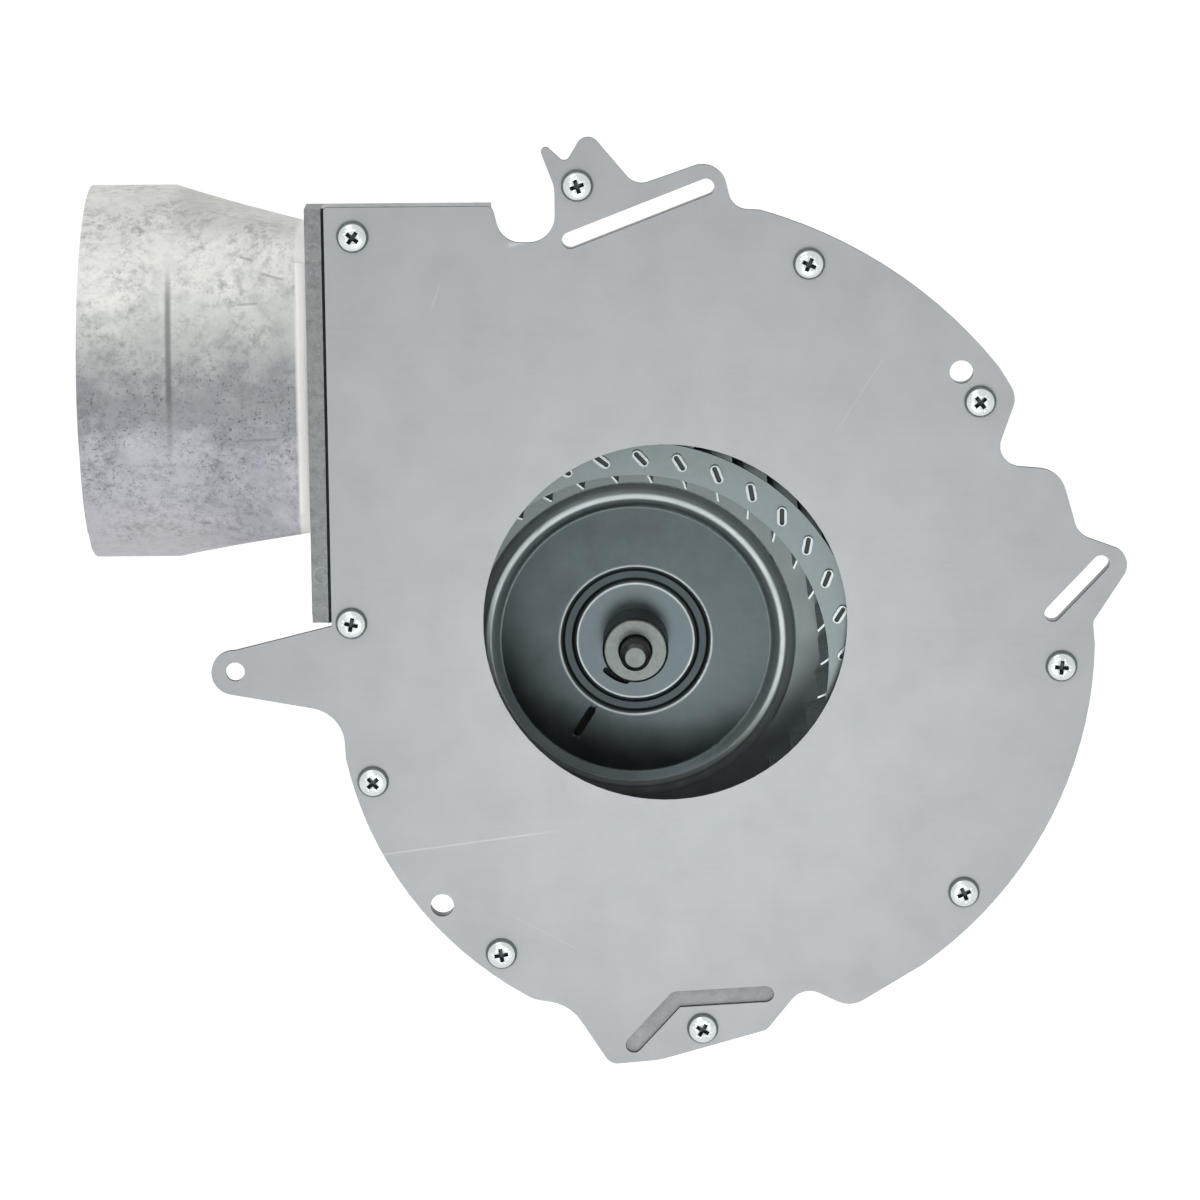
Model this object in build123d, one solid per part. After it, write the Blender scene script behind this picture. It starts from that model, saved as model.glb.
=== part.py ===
from build123d import *
from math import acos, asin, cos, degrees, pi, radians, sin
import os

# Draft inducer, drawn in millimetres.
# The origin is on the wheel axis, on the outer face of the cover plate.
# X runs away from the outlet, Y runs from the cover plate to the motor, Z is up.
# Plan points are given by the angle about the wheel axis and by the reach past the scroll wall.

# Wheel
wheel_radius = 59.9
wheel_width = 31.0
wheel_sheet = 0.8
wheel_setback = 4.3
ring_width = 8.95
blade_count = 34
blade_thickness = 0.5
blade_rim = 1.3
blade_overhang = 2.05
blade_curve = 20.0
blade_lean = 43.0
first_blade_angle = 3.4
tab_inset = 2.35
tab_length = 2.4
tab_clearance = 0.12
tab_head_length = 4.3
tab_head_width = 2.2
tab_head_height = 0.8
tab_dimple_length = 2.9
tab_dimple_width = 0.8
bead_radius = 39.6
bead_width = 6.4
bead_height = 1.8
bead_crest_bend = 4.4
bead_foot_bend = 1.5
groove_inner = 15.9
groove_outer = 20.2
groove_depth = 0.9
groove_side = 1.2
hub_dish = 1.2
sheet_bend = 0.5
plate_slot_length = 9.5
plate_slot_width = 2.2
plate_slot_radius = 26.4
plate_slot_angle = 238.0
kidney_radius = 11.4
kidney_width = 1.8
kidney_start = 226.0
kidney_arc = 31.0

# Hub and shaft
shaft_radius = 3.97
shaft_front = 14.4
shaft_chamfer = 1.3
hub_radius = 8.8
hub_front = 22.7
hub_recess = 0.5
hub_edge = 0.6
hub_spigot = 6.4
hub_spigot_clearance = 0.1
hub_rivet_height = 0.4
set_screw_radius = 2.4
set_screw_recess = 0.4
set_screw_clearance = 0.02
set_screw_key = 1.4
set_screw_key_depth = 2.4
shaft_flat_depth = 0.45
shaft_flat_margin = 2.0
shaft_rear_chamfer = 0.8
bore_clearance = 0.03

# Cover plate
cover_thickness = 1.2
inlet_radius = 47.625
inlet_offset_x = 8.0
inlet_offset_z = 12.5
mount_hole_radius = 3.05
tab_hole_radius = 2.5
slot_width = 4.4
screw_hole_clearance = 0.3
notch_width = 13.8
notch_flare = 2.3
notch_rise = 9.7
notch_near_radius = 6.3
notch_far_radius = 6.8
notch_lip_radius = 2.0
plate_top_radius = 0.8
plate_foot_radius = 0.4

# Scroll housing
cutoff_gap = 6.4
wall = 2.5
scroll_growth = 34.7
cutoff_angle = 145.0
cutoff_overlap = 20.0
tongue_radius = 4.0
top_bend = 40.0
top_angle = 450.0
scroll_depth = 40.0
flange_thickness = 4.0
flange_inset = 1.0
flange_hole_clearance = 0.3
boss_radius = 4.5
boss_length = 10.0
shaft_hole_radius = 13.0
rear_corner = 6.0

# Outlet bar and duct
outlet_x = -84.4
bar_width = 4.3
bar_gap = 0.75
bar_top = 122.3
bar_bottom = 13.0
bar_slant = 2.4
plate_lap = 0.4
lip_depth = 9.5
lip_setback = 0.5
flange_web = 7.5
root_radius = 3.0
duct_top = 113.5
duct_bottom = 35.1
duct_front = 6.0
crease_x = -123.0
mouth_x = -145.3
collar_radius = 50.15
collar_y = 57.0
collar_z = 70.7
collar_side_angle = 12.0

# Cover screws
screw_radius = 1.95
screw_head_radius = 4.15
screw_head_height = 2.4
screw_head_round = 1.4
screw_reach = 9.0
screw_hole_spare = 0.5

# Motor mounting
post_circle = 50.0
post_angles = (90, 210, 330)
post_radius = 5.0
post_height = 14.0
post_rib_angles = (0, 120, 240)
post_rib_length = 12.0
post_rib_height = 9.0
post_rib_width = 2.0
bracket_thickness = 1.5
bracket_hub_radius = 28.8
bracket_arm_width = 19.5
bracket_ear_radius = 9.75
bracket_bore_clearance = 1.5
grommet_radius = 7.5
grommet_neck = 5.0
grommet_height = 7.5
sleeve_radius = 3.1
washer_radius = 7.0
washer_thickness = 1.0
mounting_head_radius = 4.2
mounting_head_height = 3.2
mounting_screw_reach = 11.0
seal_radius = 11.0
seal_thickness = 2.0
seal_lip_clearance = 0.25
seal_plate_radius = 17.0
seal_plate_thickness = 0.8
seal_plate_clearance = 1.6
seal_rivet_radius = 1.6
seal_rivet_head_radius = 2.7
seal_rivet_head_height = 0.9
seal_rivet_depth = 1.5
seal_rivet_angles = (0, 180)

# Motor
stack_front = 72.0
stack_thickness = 26.0
stack_half_width = 32.0
stack_top = 26.0
stack_bottom = -52.0
stack_corner = 4.0
rotor_radius = 15.7
air_gap = 0.6
leg_height = 12.0
window_height = 10.0
window_half_width = 20.2
shading_angles = (62, 98, 242, 278)
shading_depth = 2.6
shading_slot = (2.4, 3.2)
shading_bar = (2.2, 3.0)
shading_rise = 1.8
shading_gap = 0.1
coil_build = 7.5
coil_corner = 3.0
coil_gap = 0.05
coil_clearance = 0.02
bobbin_wall = 1.2
bobbin_clearance = 0.2
bobbin_lip = 0.4
bobbin_top_gap = 0.3
tape_thickness = 0.3
terminal_length = 8.5
terminal_width = 6.3
terminal_thickness = 0.8
terminal_spacing = 18.0
terminal_hole_radius = 0.85
terminal_hole_reach = 5.4
end_ring_length = 3.0
end_ring_gap = 0.5
end_ring_bore = 8.6
bearing_radius = 6.0
bearing_length = 9.0
bearing_shoulder = 1.2
bearing_shoulder_length = 2.0
bearing_sink = 1.0
thrust_gap = 0.2
thrust_thickness = 0.8
bridge_rise = 9.8
bridge_thickness = 4.3
bridge_half_height = 8.0
bridge_margin = 1.0
bridge_corner = 5.0
bridge_foot_radius = 5.6
bridge_boss_wall = 3.0
bridge_boss_rise = 2.7
bridge_boss_depth = 2.0
bridge_shaft_clearance = 0.6
bolt_x = 25.0
bolt_radius = 2.0
bolt_clearance = 0.1
bolt_head_radius = 4.0
bolt_head_height = 2.8
bolt_end_stub = 1.5
nut_radius = 4.2
nut_height = 3.0
nut_clearance = 0.02
cap_clearance = 0.02
cap_thickness = 0.6
cap_skirt = 2.0
cap_hole_clearance = 0.8
shaft_rear_stub = 5.0
fan_radius = 34.0
fan_blade_count = 10
fan_blade_length = 21.0
fan_blade_middle = 22.4
fan_blade_thickness = 1.4
fan_blade_lean = 12.0
fan_front = 46.6
fan_height = 7.0
fan_web = 1.6
fan_hub_wall = 4.0


def scroll_radius(angle):
    """Outer face of the scroll wall, which moves out from the cutoff to the top."""
    turn = min(max((angle - cutoff_angle) / (top_angle - cutoff_angle), 0), 1)
    start = wheel_radius + cutoff_gap + wall
    return start + scroll_growth * (1 - cos(pi * turn)) / 2


def at(angle, reach):
    """Point at an angle about the wheel axis, a reach outside the scroll wall."""
    radius = scroll_radius(angle) + reach
    return (radius * cos(radians(angle)), radius * sin(radians(angle)))


def around(radius, angle):
    """Point on a circle about the wheel axis."""
    return (radius * cos(radians(angle)), radius * sin(radians(angle)))


def layer(sketch, near, far):
    """Solid of an outline seen from the inlet side, between two depths."""
    return extrude(Plane.XZ.offset(-near) * sketch, amount=far - near, dir=(0, 1, 0))


def turned(*points):
    """Solid of revolution about the wheel axis from points of radius and depth."""
    return revolve(make_face(Polyline(*points, close=True)), Axis.Y)


def disc(radius, near, far):
    return layer(Circle(radius), near, far)


def ring(outer, inner, near, far):
    return layer(Circle(outer) - Circle(inner), near, far)


def rod(point, radius, near, far):
    """Round bar along the depth through a plan point."""
    return layer(Pos(*point) * Circle(radius), near, far)


def slab(left, right, low, high, near, far):
    """Square-cornered block given by its limits."""
    middle = ((left + right) / 2, (low + high) / 2)
    return layer(Pos(*middle) * Rectangle(right - left, high - low), near, far)


# Places of the cover screws, the mounting holes and the slots, as angle and reach.
scroll_screws = [
    (170.0, 5.9),
    (203.2, 3.5),
    (244.9, 7.7),
    (280.0, 16.3),
    (324.9, 14.7),
    (360.2, 15.1),
    (398.2, 13.5),
    (426.9, 13.6),
    (456.2, 25.2),
]
corner_screw = (7.4, 7.6)
mount_holes = [(402.7, 14.4), (231.0, 6.7)]
tab_hole = (179.9, 35.0)
top_slot = [(457.9, 11.3), (441.4, 25.3)]
right_slot = [(367.5, 12.7), (372.8, 26.6)]
bottom_slot = [(269.4, 21.2), (276.5, 8.1), (291.0, 9.9)]

# Corners of the cover plate between its long curved edges: angle, reach and corner radius.
plate_left = outlet_x + bar_width + bar_gap
plate_top = bar_top + plate_lap
notch_floor = scroll_radius(top_angle) + notch_rise
top_ear = [
    (458.8, 25.6, 9.0),
    (460.0, 39.8, 1.2),
    (457.2, 31.2, 1.5),
    (454.6, 39.6, 3.1),
    (449.5, 24.1, 5.0),
    (440.4, 33.6, 6.3),
    (437.9, 21.0, 5.0),
]
right_ear = [
    (395.9, 22.1, 6.0),
    (390.1, 7.5, 5.5),
    (385.4, 23.0, 8.0),
    (377.0, 22.3, 6.0),
    (372.8, 36.2, 5.0),
    (365.8, 23.1, 2.5),
]
bottom_ear = [
    (301.5, 21.5, 7.0),
    (297.0, 10.8, 6.0),
    (289.2, 19.6, 3.5),
    (273.2, 24.9, 20.0),
    (266.1, 27.4, 3.6),
    (258.9, 13.6, 12.0),
    (252.9, 15.3, 6.0),
]
tab_root = (188.3, 7.3, 10.0)
upper_edge = [(434.7, 22.4), (416.2, 22.4), (400.0, 22.7)]
right_edge = [(362.9, 23.6), (343.8, 23.4), (313.1, 21.7)]
lower_edge = [(251.2, 15.0), (227.6, 11.4), (197.1, 8.6)]
tab_end = [(183.2, 36.3), (179.9, 41.3), (176.8, 35.4)]

# Radii and depths that follow from the sizes above.
eye_radius = wheel_radius - ring_width
tab_circle = eye_radius + tab_inset
blade_inner_radius = eye_radius - blade_overhang
blade_outer_radius = wheel_radius - blade_rim
housing_front = cover_thickness
rear_wall_front = housing_front + scroll_depth
rear_face = rear_wall_front + wall
wheel_front = cover_thickness + wheel_setback
blade_front = wheel_front + wheel_sheet
back_plate_front = wheel_front + wheel_width
dish_front = back_plate_front - hub_dish
post_end = rear_face + post_height
bracket_front = post_end + (grommet_height - bracket_thickness) / 2
stack_rear = stack_front + stack_thickness
core_bore = shaft_radius + bore_clearance
bolt_hole_radius = bolt_radius + bolt_clearance
overrun = 1.0


def screw_places():
    """All ten cover screws, the one in the outlet corner first."""
    corner = (plate_left + corner_screw[0], plate_top - corner_screw[1])
    return [corner] + [at(*place) for place in scroll_screws]


def slot_path(places, width):
    """Slot of even width with round ends along straight runs."""
    points = [at(*place) for place in places]
    outline = Sketch()
    for first, last in zip(points, points[1:]):
        centre = ((first[0] + last[0]) / 2, (first[1] + last[1]) / 2)
        run = Vector(last[0] - first[0], last[1] - first[1])
        tilt = degrees(acos(run.X / run.length)) * (1 if run.Y > 0 else -1)
        outline += Pos(*centre) * Rot(0, 0, tilt) * SlotCenterToCenter(run.length, width)
    return outline


def cover_outline():
    """Edge of the cover plate: three long curves joined by the ears and the outlet corner."""
    notch_left = ear_side() - notch_width
    outlet_corner = [
        ((plate_left, bar_bottom - bar_gap), plate_foot_radius),
        ((plate_left, plate_top), plate_top_radius),
        ((notch_left - notch_flare, plate_top), notch_lip_radius),
        ((notch_left, notch_floor), notch_near_radius),
        ((ear_side(), notch_floor), notch_far_radius),
    ]
    top = [(at(*tab_end[2]), 0)] + outlet_corner
    top += [(at(angle, reach), radius) for angle, reach, radius in top_ear]
    top += [(at(*upper_edge[0]), 0)]
    edge = rounded_run(top)
    edge += curve_through(upper_edge)
    edge += ear_run(upper_edge[2], right_ear, right_edge[0])
    edge += curve_through(right_edge)
    edge += ear_run(right_edge[2], bottom_ear, lower_edge[0])
    edge += curve_through(lower_edge)
    edge += ear_run(lower_edge[2], [tab_root], tab_end[0])
    edge += curve_through(tab_end)
    return make_face(edge)


def ear_side():
    """Side of the top ear that faces the outlet, where the notch beside it ends."""
    return at(*top_ear[0][:2])[0]


def rounded_run(corners):
    """Straight runs between points, each inner corner rounded by its own radius."""
    points = [point for point, radius in corners]
    radii = [radius for point, radius in corners[1:-1]]
    return FilletPolyline(*points, radius=radii)


def ear_run(start, corners, end):
    run = [(at(*start), 0)]
    run += [(at(angle, reach), radius) for angle, reach, radius in corners]
    run += [(at(*end), 0)]
    return rounded_run(run)


def curve_through(places):
    return ThreePointArc(*[at(*place) for place in places])


def cover_plate():
    outline = cover_outline()
    outline -= Pos(inlet_offset_x, inlet_offset_z) * Circle(inlet_radius)
    for place in mount_holes:
        outline -= Pos(*at(*place)) * Circle(mount_hole_radius)
    outline -= Pos(*at(*tab_hole)) * Circle(tab_hole_radius)
    for places in (top_slot, right_slot, bottom_slot):
        outline -= slot_path(places, slot_width)
    for place in screw_places():
        outline -= Pos(*place) * Circle(screw_radius + screw_hole_clearance)
    return layer(outline, 0, cover_thickness)


def scroll_outline(inset):
    """Scroll and outlet passage seen from the inlet side, drawn a given amount inside the wall."""
    steps = 20
    first = cutoff_angle - cutoff_overlap
    turn = top_angle - first
    curve = Spline(*[at(first + turn * step / steps, -inset) for step in range(steps + 1)])
    scroll = make_face(curve + Line(curve @ 1, curve @ 0))
    top = at(top_angle, -inset)
    neck = (outlet_x + bar_width, duct_top - inset)
    floor = duct_bottom + inset
    outlet = Polyline(
        top,
        neck,
        (outlet_x, duct_top - inset),
        (outlet_x, floor),
        (0, floor),
        close=True,
    )
    outline = scroll + make_face(outlet)
    start_radius = scroll_radius(cutoff_angle) - inset
    tongue = (-start_radius * cos(asin(floor / start_radius)), floor)
    outline = fillet(outline.vertices().sort_by_distance(tongue)[0], tongue_radius + inset)
    for bend in (top, neck):
        outline = fillet(outline.vertices().sort_by_distance(bend)[0], top_bend)
    return outline


def scroll_form(inset, near):
    """Scroll and outlet passage as a solid with a round rear edge, open at the outlet."""
    form = layer(scroll_outline(inset), near, rear_face - inset)
    rim = form.faces().sort_by(Axis.Y)[-1].edges()
    rim = rim.filter_by(lambda edge: (edge @ 0.5).X > outlet_x + overrun)
    return fillet(rim, rear_corner - inset)


def duct_section(x, inset):
    """Round-cornered opening of the duct where it leaves the bar."""
    centre = (x, (duct_front + rear_face) / 2, (duct_top + duct_bottom) / 2)
    width = rear_face - duct_front - 2 * inset
    height = duct_top - duct_bottom - 2 * inset
    plane = Plane(centre, x_dir=(0, 1, 0), z_dir=(1, 0, 0))
    return plane * RectangleRounded(width, height, rear_corner - inset)


def collar_section(x, radius):
    """Circle cut into four sides and four corners, to meet the duct opening edge by edge."""
    plane = Plane((x, collar_y, collar_z), x_dir=(0, 1, 0), z_dir=(1, 0, 0))
    side = collar_side_angle
    arcs = Curve()
    for quarter in (0, 90, 180, 270):
        for first, last in ((quarter - side, quarter + side), (quarter + side, quarter + 90 - side)):
            stops = (first, (first + last) / 2, last)
            arcs += ThreePointArc(*[around(radius, stop) for stop in stops])
    return plane * make_face(arcs)


def duct_form(inset):
    """Taper from the outlet opening to the round collar, drawn a given amount inside."""
    radius = collar_radius - inset
    taper = loft([duct_section(outlet_x, inset), collar_section(crease_x, radius)], ruled=True)
    collar = extrude(collar_section(crease_x, radius), amount=crease_x - mouth_x, dir=(-1, 0, 0))
    return taper, collar


def outlet_bar():
    """Bar and lip that frame the outlet end of the cover plate."""
    corner = [
        (outlet_x, bar_bottom + bar_slant),
        (outlet_x + bar_width, bar_bottom),
        (outlet_x + bar_width, bar_top),
        (outlet_x, bar_top),
    ]
    rear = housing_front + lip_depth
    lip_end = ear_side() - notch_width - notch_flare - lip_setback
    bar = layer(make_face(Polyline(*corner, close=True)), 0, rear)
    lip = slab(outlet_x, lip_end, bar_top - wall, bar_top, housing_front, rear)
    root = slab(outlet_x, plate_left + boss_radius, bar_bottom, duct_top, housing_front, duct_front + wall)
    web = slab(outlet_x, lip_end, duct_top - flange_web, bar_top, housing_front,
               housing_front + flange_thickness)
    return bar + lip + root + web


def duct_root():
    """Concave corner between the front of the duct and the side of the bar."""
    low = duct_bottom + rear_corner
    high = duct_top - rear_corner
    left = outlet_x - root_radius
    near = duct_front - root_radius
    block = slab(left, outlet_x, low, high, near, duct_front + wall / 2)
    return block - Pos(left, near, (low + high) / 2) * Cylinder(root_radius, 2 * (high - low))


def post_ribs(angle):
    """Three tapered ribs that stiffen a motor post against the rear wall."""
    x, z = around(post_circle, angle)
    ribs = []
    for turn in post_rib_angles:
        along = around(1, angle + turn)
        plane = Plane((x, rear_face, z), x_dir=(along[0], 0, along[1]), z_dir=(-along[1], 0, along[0]))
        side = Polyline((0, -wall / 2), (post_rib_length, -wall / 2), (post_rib_length, 0),
                        (0, post_rib_height), close=True)
        ribs.append(extrude(plane * make_face(side), amount=post_rib_width / 2, both=True))
    return ribs


def scroll_housing():
    outside = scroll_form(0, housing_front)
    flange = offset(cover_outline(), amount=-flange_inset, kind=Kind.INTERSECTION)
    width = 2 * scroll_radius(top_angle) - outlet_x
    flange = flange & (Pos(outlet_x + width / 2, 0) * Rectangle(width, 2 * width))
    outside += layer(flange, housing_front, housing_front + flange_thickness)
    for place in screw_places():
        outside += rod(place, boss_radius, housing_front, housing_front + boss_length)
    outside += outlet_bar()
    for angle in post_angles:
        outside += rod(around(post_circle, angle), post_radius, rear_wall_front, post_end)
        for rib in post_ribs(angle):
            outside += rib
    for form in duct_form(0):
        outside += form
    outside += duct_root()
    inside = scroll_form(wall, 0)
    inside -= slab(outlet_x - overrun, plate_left, bar_bottom, bar_top, -overrun, duct_front + wall)
    for form in duct_form(wall):
        inside += form
    outside -= inside
    for place in mount_holes:
        outside -= rod(at(*place), mount_hole_radius + flange_hole_clearance, 0, rear_face)
    for places in (top_slot, right_slot):
        outside -= layer(slot_path(places, slot_width + flange_hole_clearance), 0, rear_face)
    for place in screw_places():
        outside -= rod(place, screw_radius, 0, housing_front + screw_reach + screw_hole_spare)
    for angle in post_angles:
        outside -= rod(around(post_circle, angle), bolt_radius, rear_face, post_end + overrun)
    for angle in seal_rivet_angles:
        rivet = around(seal_rivet_circle(), angle)
        outside -= rod(rivet, seal_rivet_radius, rear_wall_front - overrun, rear_face + overrun)
    outside -= disc(shaft_hole_radius, rear_wall_front - overrun, rear_face + overrun)
    return outside


def cover_screws():
    screws = []
    for place in screw_places():
        head = rod(place, screw_head_radius, -screw_head_height, 0)
        rim = head.faces().sort_by(Axis.Y)[0].edges()
        head = fillet(rim, screw_head_round)
        screws.append(head + rod(place, screw_radius, 0, housing_front + screw_reach))
    return screws


def blade_angle(index):
    return first_blade_angle + index * 360 / blade_count


def on_tab_circle(index, outline):
    """Puts an outline where the tab of a blade comes through the ring, slanted across the radius."""
    angle = blade_angle(index)
    return Pos(*around(tab_circle, angle)) * Rot(0, 0, angle + blade_lean) * outline


def tab_section(index, clearance):
    size = Rectangle(tab_length + 2 * clearance, blade_thickness + 2 * clearance)
    return on_tab_circle(index, size)


def tab_head(index):
    """End of a tab, spread over the face of the ring, with the dent of the staking tool."""
    front = wheel_front - tab_head_height
    head = layer(on_tab_circle(index, SlotOverall(tab_head_length, tab_head_width)), front, wheel_front)
    dent = on_tab_circle(index, SlotOverall(tab_dimple_length, tab_dimple_width))
    return head - layer(dent, front - overrun, wheel_front - blade_thickness / 2)


def blade_section(index):
    """One blade seen from the inlet: a curved strip between the inner and the outer circle."""
    angle = blade_angle(index)
    tab = Vector(*around(tab_circle, angle))
    centre = tab + Vector(*around(blade_curve, angle + blade_lean + 90))
    half = blade_thickness / 2
    strip = Pos(centre.X, centre.Y) * (Circle(blade_curve + half) - Circle(blade_curve - half))
    strip = strip & (Circle(blade_outer_radius) - Circle(blade_inner_radius))
    return strip.faces().sort_by_distance(tab)[0]


def impeller_ring():
    face = Circle(wheel_radius) - Circle(eye_radius)
    for index in range(blade_count):
        face -= tab_section(index, tab_clearance)
    return layer(face, wheel_front, blade_front)


def impeller_blades():
    blades = []
    for index in range(blade_count):
        blade = layer(blade_section(index), blade_front, back_plate_front)
        tab = layer(tab_section(index, 0), wheel_front, blade_front)
        blades.append(blade + tab + tab_head(index))
    return blades


def impeller_back_plate():
    """Pressed disc, coned inside its round bead, with a groove round the hub and two slots."""
    groove_floor = dish_front + groove_depth
    bead_foot = bead_width / 2
    face = FilletPolyline(
        (hub_spigot + hub_spigot_clearance, dish_front),
        (groove_inner, dish_front),
        (groove_inner + groove_side, groove_floor),
        (groove_outer - groove_side, groove_floor),
        (groove_outer, dish_front),
        (bead_radius - bead_foot, back_plate_front),
        (bead_radius, back_plate_front - bead_height),
        (bead_radius + bead_foot, back_plate_front),
        (wheel_radius, back_plate_front),
        radius=[sheet_bend] * 4 + [bead_foot_bend, bead_crest_bend, bead_foot_bend],
    )
    rear = Pos(0, wheel_sheet) * face
    plate = make_face(face + rear + Line(face @ 0, rear @ 0) + Line(face @ 1, rear @ 1))
    slot = Pos(*around(plate_slot_radius, plate_slot_angle)) * Rot(0, 0, plate_slot_angle)
    slot *= SlotOverall(plate_slot_length, plate_slot_width)
    kidney = SlotArc(CenterArc((0, 0), kidney_radius, kidney_start, kidney_arc), kidney_width)
    cut = layer(slot + kidney, dish_front - overrun, back_plate_front + wheel_sheet + overrun)
    return revolve(plate, Axis.Y) - cut


def wheel_hub():
    rear = dish_front + wheel_sheet + hub_rivet_height
    hub = turned(
        (core_bore, hub_front + hub_recess),
        (core_bore + hub_recess, hub_front),
        (hub_radius - hub_edge, hub_front),
        (hub_radius, hub_front + hub_edge),
        (hub_radius, dish_front),
        (hub_spigot, dish_front),
        (hub_spigot, rear),
        (core_bore, rear),
    )
    thread = Plane((0, set_screw_depth(), 0), z_dir=(0, 0, -1)) * Circle(set_screw_radius)
    return hub - extrude(thread, amount=hub_radius + overrun)


def set_screw_depth():
    return (hub_front + dish_front) / 2


def hub_set_screw():
    tip = shaft_radius - shaft_flat_depth
    plane = Plane((0, set_screw_depth(), -tip), z_dir=(0, 0, -1))
    length = hub_radius - tip - set_screw_recess
    screw = extrude(plane * Circle(set_screw_radius - set_screw_clearance), amount=length)
    key = plane.offset(length - set_screw_key_depth) * RegularPolygon(set_screw_key, 6)
    return screw - extrude(key, amount=length)


def motor_shaft():
    end = shaft_end()
    flat = slab(-shaft_radius, shaft_radius, -2 * shaft_radius, shaft_flat_depth - shaft_radius,
                hub_front - shaft_flat_margin, back_plate_front + shaft_flat_margin)
    shaft = turned(
        (0, shaft_front),
        (shaft_radius - shaft_chamfer, shaft_front),
        (shaft_radius, shaft_front + shaft_chamfer),
        (shaft_radius, end - shaft_rear_chamfer),
        (shaft_radius - shaft_rear_chamfer, end),
        (0, end),
    )
    return shaft - flat


def shaft_end():
    return stack_rear + bridge_rise + bridge_thickness + shaft_rear_stub


def seal_plate():
    plate = Circle(seal_plate_radius) - Circle(shaft_radius + seal_plate_clearance)
    for angle in seal_rivet_angles:
        plate -= Pos(*around(seal_rivet_circle(), angle)) * Circle(seal_rivet_radius)
    return layer(plate, rear_face, rear_face + seal_plate_thickness)


def seal_rivet_circle():
    return (shaft_hole_radius + seal_plate_radius) / 2


def shaft_seal():
    return ring(seal_radius, shaft_radius + seal_lip_clearance, rear_face - seal_thickness, rear_face)


def seal_rivets():
    rivets = []
    rear = rear_face + seal_plate_thickness
    for angle in seal_rivet_angles:
        point = around(seal_rivet_circle(), angle)
        head = rod(point, seal_rivet_head_radius, rear, rear + seal_rivet_head_height)
        rivets.append(head + rod(point, seal_rivet_radius, rear_face - seal_rivet_depth, rear))
    return rivets


def cooling_fan():
    """Moulded fan on the shaft between the housing and the motor."""
    web_rear = fan_front + fan_web
    fan = ring(fan_radius, core_bore, fan_front, web_rear)
    fan += ring(shaft_radius + fan_hub_wall, core_bore, fan_front, web_rear + fan_height)
    for index in range(fan_blade_count):
        angle = index * 360 / fan_blade_count
        vane = Pos(*around(fan_blade_middle, angle)) * Rot(0, 0, angle + fan_blade_lean)
        vane *= Rectangle(fan_blade_length, fan_blade_thickness)
        fan += layer(vane, web_rear, web_rear + fan_height)
    return fan


def motor_bracket():
    """Pressed steel spider that carries the motor on three soft mounts."""
    arms = Circle(bracket_hub_radius)
    for angle in post_angles:
        arm = Pos(*around(post_circle / 2, angle)) * Rot(0, 0, angle)
        arms += arm * Rectangle(post_circle, bracket_arm_width)
        arms += Pos(*around(post_circle, angle)) * Circle(bracket_ear_radius)
    arms -= Circle(bridge_boss_radius() + bracket_bore_clearance)
    for angle in post_angles:
        arms -= Pos(*around(post_circle, angle)) * Circle(grommet_neck)
    for side in (-1, 1):
        arms -= Pos(side * bolt_x, 0) * Circle(bolt_hole_radius)
    return layer(arms, bracket_front, bracket_front + bracket_thickness)


def bridge_boss_radius():
    return bearing_radius + bridge_boss_wall


def on_posts(outline, near, far):
    """One copy of an outline on each motor post, between two depths."""
    return [layer(Pos(*around(post_circle, angle)) * outline, near, far) for angle in post_angles]


def vibration_grommets():
    bead = (grommet_height - bracket_thickness) / 2
    end = post_end + grommet_height
    grommet = turned(
        (sleeve_radius, post_end),
        (grommet_radius, post_end),
        (grommet_radius, post_end + bead),
        (grommet_neck, post_end + bead),
        (grommet_neck, end - bead),
        (grommet_radius, end - bead),
        (grommet_radius, end),
        (sleeve_radius, end),
    )
    places = [around(post_circle, angle) for angle in post_angles]
    return [Pos(x, 0, z) * grommet for x, z in places]


def grommet_sleeves():
    outline = Circle(sleeve_radius) - Circle(bolt_hole_radius)
    return on_posts(outline, post_end, post_end + grommet_height)


def mounting_washers():
    near = post_end + grommet_height
    outline = Circle(washer_radius) - Circle(bolt_hole_radius)
    return on_posts(outline, near, near + washer_thickness)


def mounting_screws():
    near = post_end + grommet_height + washer_thickness
    heads = on_posts(RegularPolygon(mounting_head_radius, 6), near, near + mounting_head_height)
    shanks = on_posts(Circle(bolt_radius), post_end - mounting_screw_reach, near)
    return [head + shank for head, shank in zip(heads, shanks)]


def stator_laminations():
    width = 2 * stack_half_width
    height = stack_top - stack_bottom
    middle = (stack_top + stack_bottom) / 2
    window_middle = stack_bottom + leg_height + window_height / 2
    outline = Pos(0, middle) * RectangleRounded(width, height, stack_corner)
    outline -= Circle(rotor_radius + air_gap)
    outline -= Pos(0, window_middle) * Rectangle(2 * window_half_width, window_height)
    for side in (-1, 1):
        outline -= Pos(side * bolt_x, 0) * Circle(bolt_hole_radius)
    for angle in shading_angles:
        outline -= Pos(*around(shading_circle(), angle)) * Rot(0, 0, angle) * Rectangle(*shading_slot)
    return layer(outline, stack_front, stack_rear)


def shading_circle():
    return rotor_radius + air_gap + shading_depth


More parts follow.
